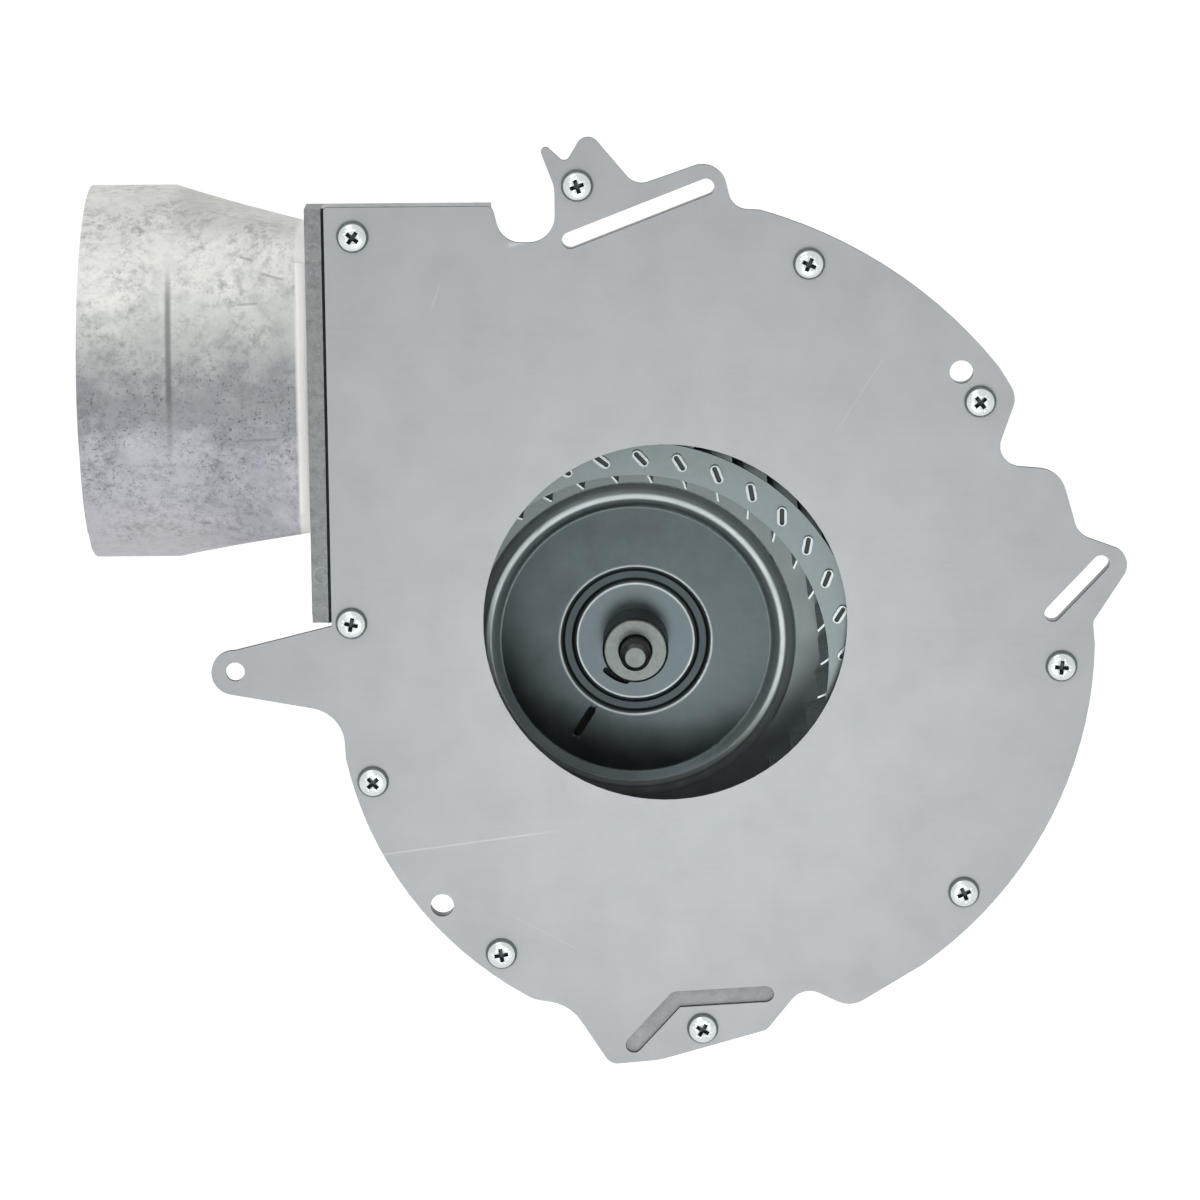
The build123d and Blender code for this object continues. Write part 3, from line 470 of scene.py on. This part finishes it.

# Painted shade along the crease between duct and collar, darkest at its middle.
leaning = add(cast, "ShaderNodeMath", {0: y, 1: crease_lean, 2: x}, operation="MULTIPLY_ADD")
line = between(cast, leaning, crease_x_mm - 0.3, crease_x_mm + 0.3, 0.8)
crease_shade = add(cast, "ShaderNodeMath", {
    0: line, 1: between(cast, y, -40, 26, 6)}, operation="MULTIPLY")
for low, high, soft, share, shade in ((60, 101, 6, 0.3, "#5d6465"), (73, 96, 6, 0.5, "#4c5354")):
    part_way = add(cast, "ShaderNodeMath", {
        0: crease_shade, 1: between(cast, z, low, high, soft)}, operation="MULTIPLY")
    colour = stain(cast, colour, part_way, share, shade)

# Painted highlight makes the fillet beside the outlet bar bright, and painted shade darkens the
# face under the plate.
fillet_highlight = add(cast, "ShaderNodeMath", {
    0: between(cast, x, -87.2, -84.8, 0.9), 1: between(cast, z, 36, 116, 8)},
    operation="MULTIPLY")
colour = stain(cast, colour, fillet_highlight, 0.85, "#f2f0ec")
colour = stain(cast, colour, between(cast, y, 1.0, 1.4, 0.1), 0.75, "#83878a")

# The outlet bar with its ejector marks, and a painted shadow that makes the gap between it and the
# plate a black line.
bar = add(cast, "ShaderNodeMath", {
    0: between(cast, x, outlet_x_mm - 0.05, bar_right_mm + 0.1, 0.05),
    1: between(cast, y, -1, 10.6, 0.2)}, operation="MULTIPLY")
colour = stain(cast, colour, bar, 1.0, "#7e8283")
for pattern, share, shade in (
        (mottle, 0.5, "#9a9e9e"), (specks, 0.5, "#54585a"), (pits, 0.35, "#b0b4b3")):
    spots = add(cast, "ShaderNodeMath", {0: pattern, 1: bar}, operation="MULTIPLY")
    colour = stain(cast, colour, spots, share, shade)
for mark_x, mark_z in ejector_marks_mm:
    reach = add(cast, "ShaderNodeVectorMath", {
        0: place, 1: (mark_x / 1000, 0, mark_z / 1000)}, operation="DISTANCE")
    circle = between(cast, reach, ejector_radius_mm - 0.1, ejector_radius_mm + 0.1, 0.2)
    colour = stain(cast, colour, circle, 0.4, "#a0a5a2")
painted_gap_shadow = add(cast, "ShaderNodeMath", {
    0: between(cast, x, bar_right_mm - 0.02, bar_right_mm + 1.0, 0.02),
    1: between(cast, y, 0.25, 1.9, 0.2)}, operation="MULTIPLY")
colour = stain(cast, colour, painted_gap_shadow, 1.0, "#0c0f10")
rough_skin = add(cast, "ShaderNodeMath", {
    0: blotches(cast, place, grain_mm, 0, 1, 3), 1: blotches(cast, place, orange_peel_mm, 0, 1)})
dress(cast, colour, 0.5, mottle, 0.42, 0.6, rough_skin, 0.09)
casting = finished("scroll_housing", "housing", 0.35, cast)

# Inside the scroll the casting is painted near black: painted shade, with the soot that the gas
# leaves.
soot_and_shade, place = new_material("soot_and_painted_shade_aluminium")
soot_and_shade_mm = 12
patches = blotches(soot_and_shade, place, soot_and_shade_mm, 0.3, 0.7)
colour = stain(soot_and_shade, linear("#1c1d1e"), patches, 1.0, "#2f3132")
dress(soot_and_shade, colour, 0.3, patches, 0.6, 0.75, blotches(soot_and_shade, place, grain_mm, 0, 1), 0.09)
casting.data.materials.append(soot_and_shade)
for face in casting.data.polygons:
    outward = Vector((face.center.x, 0, face.center.z))
    inner_wall = face.normal.dot(outward.normalized()) < wall_facing
    inner_floor = face.normal.y < floor_facing and outward.length * 1000 < scroll_reach_mm
    behind_flange = inside_depth_mm[0] < face.center.y * 1000 < inside_depth_mm[1]
    within = behind_flange and face.center.x * 1000 > outlet_x_mm
    if within and (inner_wall or inner_floor):
        face.material_index = 1

# The lower half of the collar's rim is a little ragged.
rim_x_mm = min(vert.co.x for vert in casting.data.vertices) * 1000
for vert in casting.data.vertices:
    if vert.co.x * 1000 < rim_x_mm + rim_depth_mm:
        below = min(1, max(0, (rim_middle_z_mm - vert.co.z * 1000) / rim_fade_mm))
        notch = abs(noise.noise(vert.co * 1000 / rim_notch_mm))
        vert.co.x += rim_rag_mm / 1000 * below * notch


# Wheel
# A ring with a slit for each blade, thirty-four curved blades whose tabs are staked over
# the ring, and a back plate with a bead and a groove, all of aluminised steel sheet.
bead_radius_mm = 39.6
groove_edges_mm = (15.9, 20.2)
slit_zone_mm = (51.5, 57.4)
stake_shift_mm = 2.2
ring_front_mm = 5.45
ring_back_mm = 6.29
dent_level_mm = 4.8
dent_reach_mm = 1.8
dent_spread = 0.5
head_reach_mm = 2.6
head_spread = 0.15
level_slack_mm = 0.01
coating_mm = 0.8
cloud_mm = 9
dent_facing = -0.9    # Y of the normal of a dent's floor, which looks to the front


def sheet_steel(name, dark, light, patch_mm, detail, metallic, smooth, rough):
    """Aluminised sheet in two shades, with the fine grain of its coating."""
    material, place = new_material(name)
    patches = blotches(material, place, patch_mm, 0.3, 0.7, detail)
    colour = stain(material, linear(dark), patches, 1.0, light)
    grain = blotches(material, place, coating_mm, 0, 1, 3)
    dress(material, colour, metallic, patches, smooth, rough, grain, 0.012)
    return material


# Aluminised sheet: satin grey with faint clouds. The blades take a lighter copy of it as painted
# highlight on their tab heads, and the staking dents a dark copy as painted shadow.
rolled = sheet_steel(
    "aluminised_steel_sheet", "#5a6263", "#687072", cloud_mm, 6, 0.85, 0.32, 0.4)
dented = sheet_steel("staking_dent_shadow", "#23292a", "#353c3d", 1.5, 5, 0.4, 0.45, 0.55)
blade_highlight = sheet_steel("blades_painted_highlight", "#7f8787", "#909797", 3, 5, 0.85, 0.25, 0.35)
ring = finished("impeller_ring", "rotor", 0.12, rolled)
blades = finished("impeller_blades", "rotor", 0.1, blade_highlight)

# The tabs come through 2.2 mm farther out than the CAD has them, and each is staked over
# with a dent that spreads its head.
slits = [vert for vert in ring.data.vertices
         if slit_zone_mm[0] < vert.co.xz.length * 1000 < slit_zone_mm[1]]
heads = [vert for vert in blades.data.vertices if vert.co.y * 1000 < ring_back_mm]
for vert in slits + heads:
    outward = Vector((vert.co.x, 0, vert.co.z)).normalized()
    vert.co += outward * stake_shift_mm / 1000
# The dents' floors and walls take the painted shadow.
blades.data.materials.append(dented)
dents = [face.center.copy() for face in blades.data.polygons
         if face.normal.y < dent_facing and dent_level_mm < face.center.y * 1000 < ring_front_mm]
for dent in dents:
    corners = set()
    for face in blades.data.polygons:
        off_mm = (face.center - dent) * 1000
        if off_mm.length < dent_reach_mm and face.center.y * 1000 < ring_front_mm:
            if off_mm.y >= -level_slack_mm or off_mm.dot(face.normal) < -level_slack_mm:
                face.material_index = 1
                corners.update(face.vertices)
    for vert in heads:
        off = Vector((vert.co.x - dent.x, 0, vert.co.z - dent.z))
        if off.length * 1000 < head_reach_mm:
            vert.co += off * (dent_spread if vert.index in corners else head_spread)


def from_axis(material, place):
    """Distance of each point from the wheel's axis."""
    flat = add(material, "ShaderNodeVectorMath", {0: place, 1: (1, 0, 1)}, operation="MULTIPLY")
    return add(material, "ShaderNodeVectorMath", {0: flat}, operation="LENGTH")


# The back plate is the same sheet, drawn, in a darker copy as painted shade deep in the wheel.
# Painted highlights run along the bead crest, its outer flank and the edges of the groove, painted
# shade darkens the groove, and outside the bead the sheet is lighter and less metallic.
drawn, place = new_material("aluminised_drawn_sheet")
reach = from_axis(drawn, place)
patches = blotches(drawn, place, cloud_mm, 0.3, 0.7, 6)
colour = stain(drawn, linear("#40484b"), patches, 1.0, "#4d5658")
inner, outer = groove_edges_mm
# Each ring of it: from and to which radius, how softly it ends, its share and its shade.
painted_light_rings = [
    (bead_radius_mm + 1.6, bead_radius_mm + 2.6, 0.8, 0.75, "#b4bcbc"),
    (inner - 0.25, inner + 0.25, 0.45, 0.5, "#a9b1b0"),
    (outer - 0.25, outer + 0.25, 0.45, 0.5, "#a9b1b0"),
    (inner + 0.9, outer - 0.9, 0.6, 0.85, "#252c2e"),
    (bead_radius_mm - 0.2, bead_radius_mm + 0.2, 0.9, 0.85, "#abb3b2"),
]
for low, high, soft, share, shade in painted_light_rings:
    colour = stain(drawn, colour, between(drawn, reach, low, high, soft), share, shade)
outside_bead = between(drawn, reach, bead_radius_mm, 70, 1.2)
colour = stain(drawn, colour, outside_bead, 0.3, "#7f8888")
dullness = add(drawn, "ShaderNodeMapRange", {"Value": outside_bead, "To Min": 0.85, "To Max": 0.5})
grain = blotches(drawn, place, coating_mm, 0, 1, 3)
dress(drawn, colour, dullness, patches, 0.3, 0.38, grain, 0.012)
finished("impeller_back_plate", "rotor", 0.1, drawn)


# Hub, set screw and shaft
# A turned steel hub, riveted into the back plate, with a black set screw that bears on a
# flat of the ground motor shaft.
# Turned steel is a plain grey metal with the fine rings of the tool in its face.
turned_steel, place = new_material("turned_steel")
tool_mark_mm = 0.45    # three times as coarse as it is, so that it still shows
marks = add(turned_steel, "ShaderNodeMath", {
    0: from_axis(turned_steel, place), 1: 2 * pi * 1000 / tool_mark_mm}, operation="MULTIPLY")
marks = add(turned_steel, "ShaderNodeMath", {0: marks}, operation="SINE")
patches = blotches(turned_steel, place, 2.5, 0.35, 0.65)
colour = stain(turned_steel, linear("#4d5250"), patches, 1.0, "#656a67")
dress(turned_steel, colour, 0.9, patches, 0.3, 0.4, marks, 0.005)
finished("wheel_hub", "rotor", 0.2, turned_steel)
finished("motor_shaft", "rotor", 0.1, turned_steel)


def surface(name, dark, light, patch_mm, grain_mm, relief_mm, metallic, roughness):
    """Finish whose colour drifts in patches and whose relief follows its grain."""
    material, place = new_material(name)
    grain = blotches(material, place, grain_mm, 0.3, 0.7, 3)
    patches = blotches(material, place, patch_mm, 0.3, 0.7)
    colour = stain(material, linear(dark), patches, 1.0, light)
    dress(material, colour, metallic, grain, roughness - 0.05, roughness + 0.05, grain, relief_mm)
    return material


# Black oxide is a thin dark skin that lets a little of the steel's shine through.
oxide = surface("black_oxide_steel", "#27282a", "#3a3b3d", 1.5, 0.4, 0.01, 0.7, 0.4)
finished("hub_set_screw", "rotor", 0.08, oxide)


# Shaft seal
# A silicone washer that closes the shaft hole, held by a pressed plate and two rivets.
# Silicone rubber is brick red, with the dull sheen of a soft moulding.
silicone = surface("silicone_rubber", "#8e3c2d", "#a24a38", 4, 0.5, 0.02, 0.0, 0.5)
finished("shaft_seal", "housing", 0.2, silicone)
finished("seal_plate", "housing", 0.1, rolled)
finished("seal_rivets", "housing", 0.25, zinc)


# Cooling fan
# Moulded in black glass-filled nylon and pressed on the shaft between housing and motor.
# The surface is a fine matt with a faint flow pattern.
fan_nylon = surface("black_filled_nylon", "#1f2022", "#2d2e31", 12, 0.5, 0.03, 0.0, 0.42)
finished("cooling_fan", "rotor", 0.3, fan_nylon)


# Motor bracket
# A three-armed spider pressed from zinc-plated steel, screwed to the cast posts through
# rubber grommets, each with a steel sleeve, a washer and a hexagon-head screw.
# Zinc plate on pressed steel is pale with a silvery sheen, and the rubber is a dull black.
plated = surface("zinc_plated_steel", "#a9adad", "#bfc3c3", 10, 0.8, 0.01, 0.85, 0.36)
rubber = surface("black_rubber", "#191919", "#262626", 6, 0.4, 0.03, 0.0, 0.62)
finished("motor_bracket", "housing", 0.2, plated)
finished("vibration_grommets", "housing", 0.5, rubber)
finished("grommet_sleeves", "housing", 0.1, zinc)
finished("mounting_washers", "housing", 0.12, zinc)
finished("mounting_screws", "housing", 0.25, zinc)


# Stator stack
# Steel laminations, 0.5 mm thick, stacked, clamped and dipped in varnish, with a shading
# ring of bare copper through each pole tip. The sheet edges show as fine lines.
# The varnish leaves the steel brown-grey and half glossy, with rust-brown runs in it.
laminated, place = new_material("varnished_laminations")
lamination_mm = 1.0    # drawn twice as thick as it is, so that it still shows
parts = add(laminated, "ShaderNodeSeparateXYZ", {"Vector": place})
layers = add(laminated, "ShaderNodeMath", {
    0: parts.outputs["Y"], 1: 2 * pi * 1000 / lamination_mm}, operation="MULTIPLY")
layers = add(laminated, "ShaderNodeMath", {0: layers}, operation="SINE")
seams = add(laminated, "ShaderNodeMapRange", {"Value": layers, "From Min": -0.2, "From Max": -0.9})
patches = blotches(laminated, place, 8, 0.3, 0.7)
colour = stain(laminated, linear("#4a4a4a"), patches, 1.0, "#656361")
colour = stain(laminated, colour, seams, 0.6, "#2d2b29")
runs = blotches(laminated, place, 5, 0.6, 0.72, 6, 0.7)
colour = stain(laminated, colour, runs, 0.35, "#6d4a33")
dress(laminated, colour, 0.6, patches, 0.42, 0.48, layers, 0.04)
finished("stator_laminations", "housing", 0.25, laminated)

# Bare copper is a clean orange metal, a little drawn and scuffed.
copper = surface("bare_copper", "#a5623f", "#c07a52", 4, 0.5, 0.01, 0.95, 0.32)
finished("shading_rings", "housing", 0.2, copper)


# Coil
# Enamelled copper wire on a moulded nylon bobbin, wrapped in polyester tape, with two
# tin-plated brass blades for the leads.
# The nylon is creamy with a slight gloss, the wire enamel a deep glossy brown, the tape
# a shiny straw yellow, and tin plate a pale warm metal.
nylon = surface("natural_nylon", "#d6d1bf", "#e4dfce", 9, 0.6, 0.02, 0.0, 0.4)
enamel = surface("enamelled_copper", "#7e3d22", "#9c5230", 3, 0.4, 0.05, 0.4, 0.3)
tape = surface("polyester_tape", "#cdb86a", "#dac77d", 7, 0.8, 0.02, 0.0, 0.25)
tinned = surface("tin_plated_brass", "#bdbab0", "#d0cdc3", 3, 0.5, 0.01, 0.9, 0.3)
finished("coil_bobbin", "housing", 0.25, nylon)
finished("stator_coil", "housing", 0.3, enamel)
finished("coil_tape", "housing", 0.1, tape)
finished("spade_terminals", "housing", 0.12, tinned)


# Bearing bridges
# Two die-cast zinc bridges across the bore of the stack. Each holds a sintered bronze
# bush full of oil, and the rear one is closed by a pressed cap.
# Die-cast zinc is a dull mid-grey, and sintered bronze is brown and open-pored, so that
# it hardly shines.
cast_zinc = surface("die_cast_zinc", "#8d9092", "#a3a6a8", 5, 0.7, 0.05, 0.7, 0.46)
bronze = surface("sintered_bronze", "#7c5c35", "#94703f", 1.5, 0.4, 0.04, 0.85, 0.5)
finished("front_bearing_bracket", "housing", 0.4, cast_zinc)
finished("rear_bearing_bracket", "housing", 0.4, cast_zinc)
finished("front_bearing", "housing", 0.2, bronze)
finished("rear_bearing", "housing", 0.2, bronze)
finished("rear_bearing_cap", "housing", 0.15, plated)


# Through bolts
# Two long zinc-plated bolts clamp the bracket, both bridges and the stack. Their heads
# bear on the bracket, and hexagon nuts hold them at the rear bridge.
finished("motor_through_bolts", "housing", 0.2, zinc)
finished("through_bolt_nuts", "housing", 0.2, zinc)


# Rotor
# A laminated core with a cast aluminium end ring at each side, and a nylon washer
# between each bearing and the core.
# The end rings are left as cast: pale, bright and slightly rough.
cage = surface("cast_rotor_aluminium", "#a9abaa", "#c0c1bf", 3, 0.6, 0.04, 0.8, 0.45)
finished("rotor_core", "rotor", 0.15, laminated)
finished("rotor_end_rings", "rotor", 0.3, cage)
finished("thrust_washers", "rotor", 0.1, nylon)


# Floor and light
# A pale floor well below the part, a white surrounding, and three soft lamps.
floor_drop_mm = 90
floor_half_width_m = 8
floor_mesh = bpy.data.meshes.new("floor")
shape = bmesh.new()
bmesh.ops.create_grid(shape, x_segments=1, y_segments=1, size=floor_half_width_m)
bmesh.ops.translate(
    shape, verts=shape.verts, vec=(0, 0, cad_low.z - floor_drop_mm / 1000))
shape.to_mesh(floor_mesh)
shape.free()
floor = bpy.data.objects.new("floor", floor_mesh)
bpy.context.scene.collection.objects.link(floor)
floor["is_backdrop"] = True


def seen_directly(material):
    """1 for rays from the camera and for those that metal or glass passes on."""
    rays = add(material, "ShaderNodeLightPath")
    seen = add(material, "ShaderNodeMath", {
        0: rays.outputs["Is Camera Ray"], 1: rays.outputs["Is Glossy Ray"]}, operation="MAXIMUM")
    return add(material, "ShaderNodeMath", {
        0: seen, 1: rays.outputs["Is Transmission Ray"]}, operation="MAXIMUM")


pale = new_material("pale_floor")[0]
diffuse = add(pale, "ShaderNodeBsdfDiffuse", {"Color": (0.8, 0.8, 0.8, 1)})
strength = add(pale, "ShaderNodeMath", {0: seen_directly(pale), 1: 0.62}, operation="MULTIPLY")
glow = add(pale, "ShaderNodeEmission", {"Color": (1, 1, 1, 1), "Strength": strength})
both_layers = add(pale, "ShaderNodeAddShader", {0: diffuse, 1: glow})
add(pale, "ShaderNodeOutputMaterial", {"Surface": both_layers})
floor.data.materials.append(pale)

world = bpy.data.worlds.new("surrounding")
world.use_nodes = True
world.node_tree.nodes.clear()
level = add(world, "ShaderNodeMapRange", {
    "Value": seen_directly(world), "To Min": 0.55, "To Max": 1.0})
sky = add(world, "ShaderNodeBackground", {"Color": (1, 1, 1, 1), "Strength": level})
add(world, "ShaderNodeOutputWorld", {"Surface": sky})
bpy.context.scene.world = world


def soft_lamp(name, position, size, watts):
    """Square area lamp aimed at the middle of the part."""
    data = bpy.data.lights.new(name, "AREA")
    data.size = size
    data.energy = watts
    lamp = bpy.data.objects.new(name, data)
    lamp.location = position
    lamp.rotation_mode = "QUATERNION"
    lamp.rotation_quaternion = (target - Vector(position)).to_track_quat("-Z", "Y")
    lamp.visible_camera = False
    bpy.context.scene.collection.objects.link(lamp)


# From the upper left, from the front, and a small one low in front of the inlet. Places
# and sizes are in metres.
soft_lamp("key_lamp", (-0.5, -0.9, 1.1), 0.5, 2)
soft_lamp("window_lamp", (-0.3, -1.35, 0.42), 0.3, 1.2)
soft_lamp("low_lamp", (0.02, -0.45, -0.12), 0.15, 0.42)

bpy.context.scene.view_settings.view_transform = "Standard"

low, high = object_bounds()
